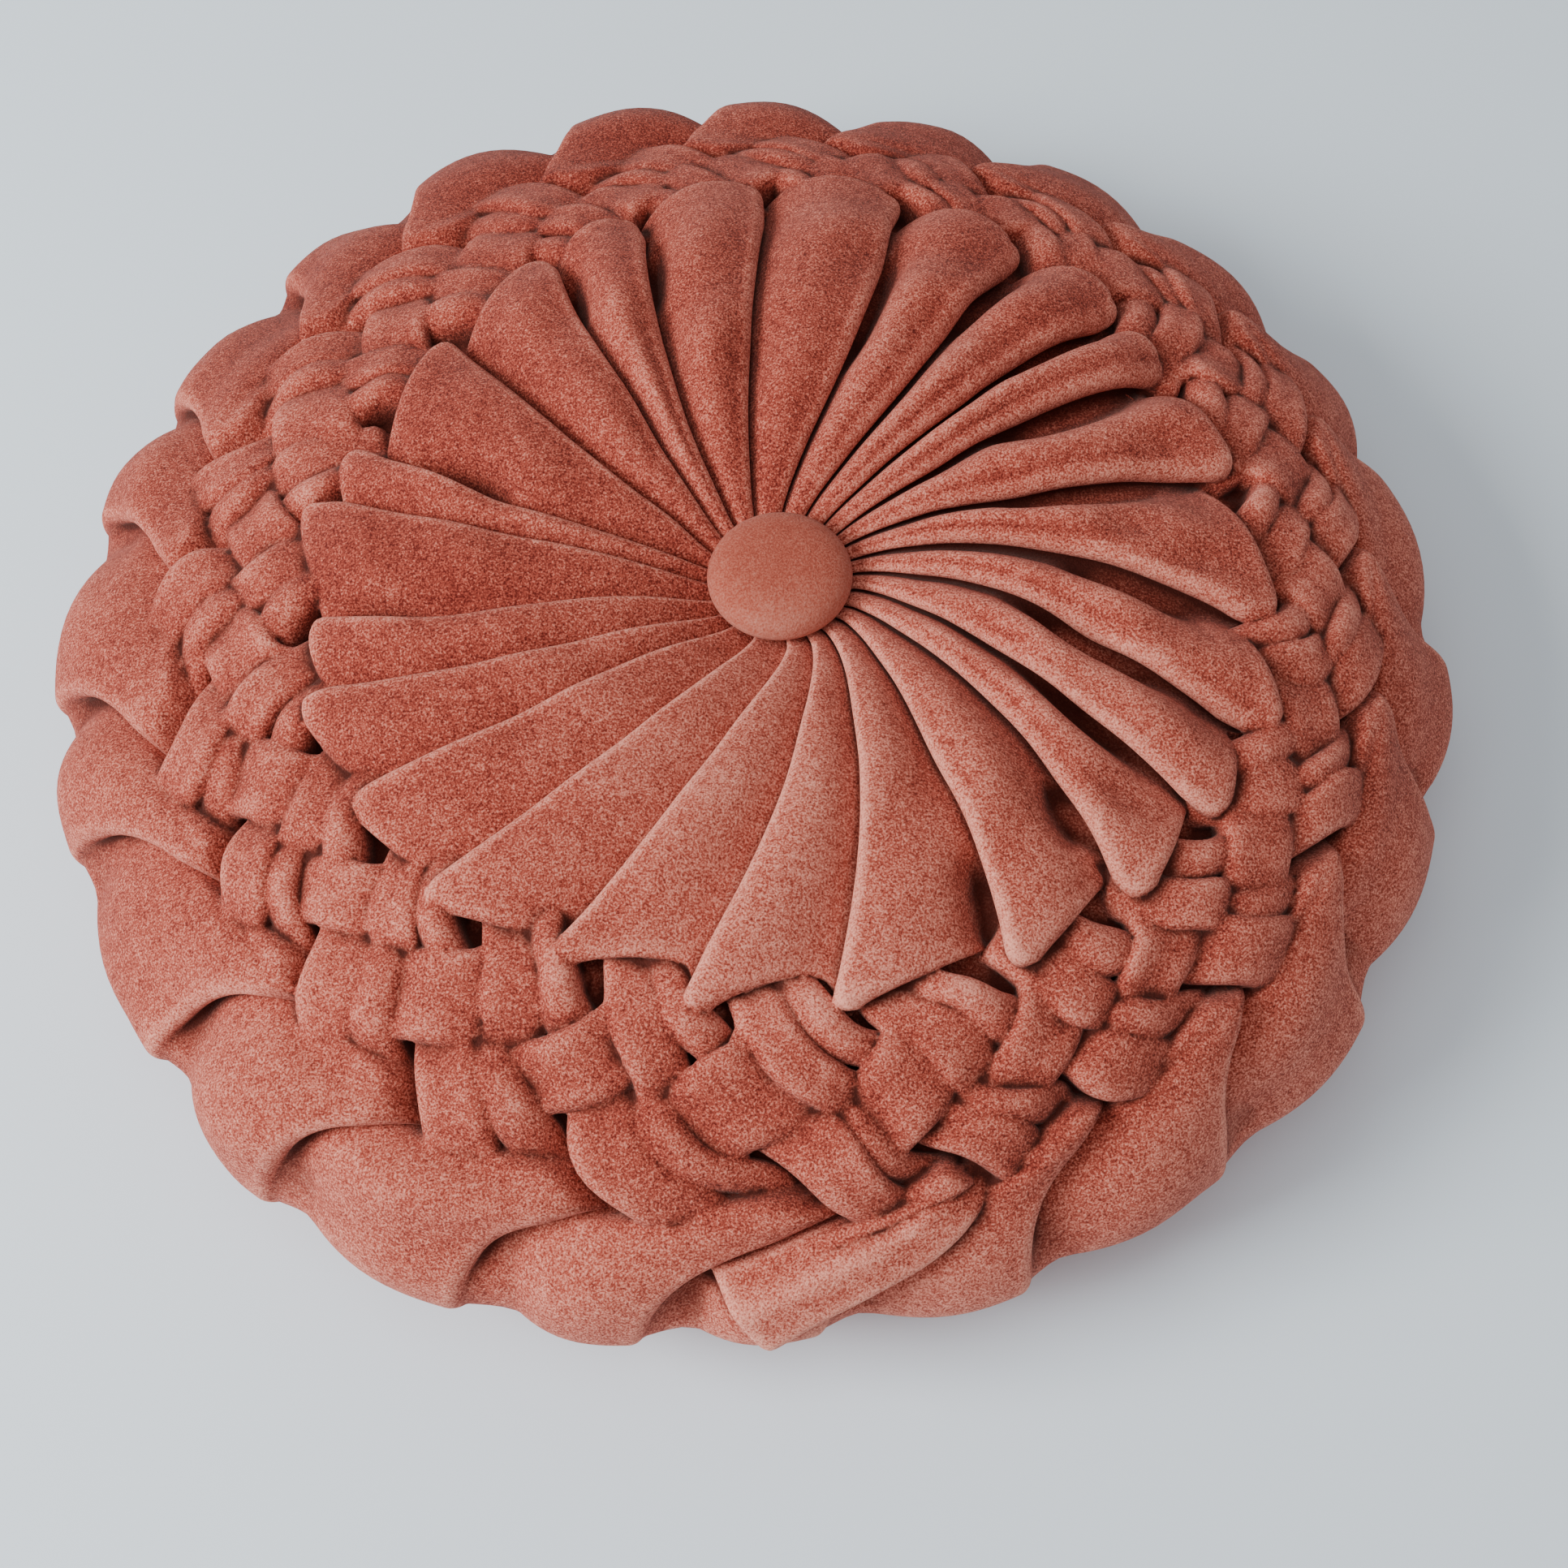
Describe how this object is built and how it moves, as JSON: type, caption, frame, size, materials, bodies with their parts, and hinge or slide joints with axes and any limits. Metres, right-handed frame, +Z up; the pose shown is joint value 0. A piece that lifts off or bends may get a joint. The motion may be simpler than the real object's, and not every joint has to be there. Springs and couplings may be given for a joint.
{
  "type": "pleated round cushion",
  "caption": "Round velvet cushion with radial knife pleats, a ring of woven smocking on its shoulder, broad rim pleats and a covered button in the middle.",
  "frame": {"origin": "middle of the flat back, under the middle of the cushion's box, on the surface that it lies on", "axes": "+Z up out of the pleated face; +X to the right and +Y away from the viewer in the picture"},
  "size_m": [0.4088, 0.4088, 0.104],
  "materials": {
    "velvet": "short cut pile velvet, terracotta, paler where the nap turns",
    "button_velvet": "short cut pile velvet stretched over a button mould"
  },
  "bodies": {
    "root": {"cover": "velvet", "button": "button_velvet"}
  },
  "joints": []
}
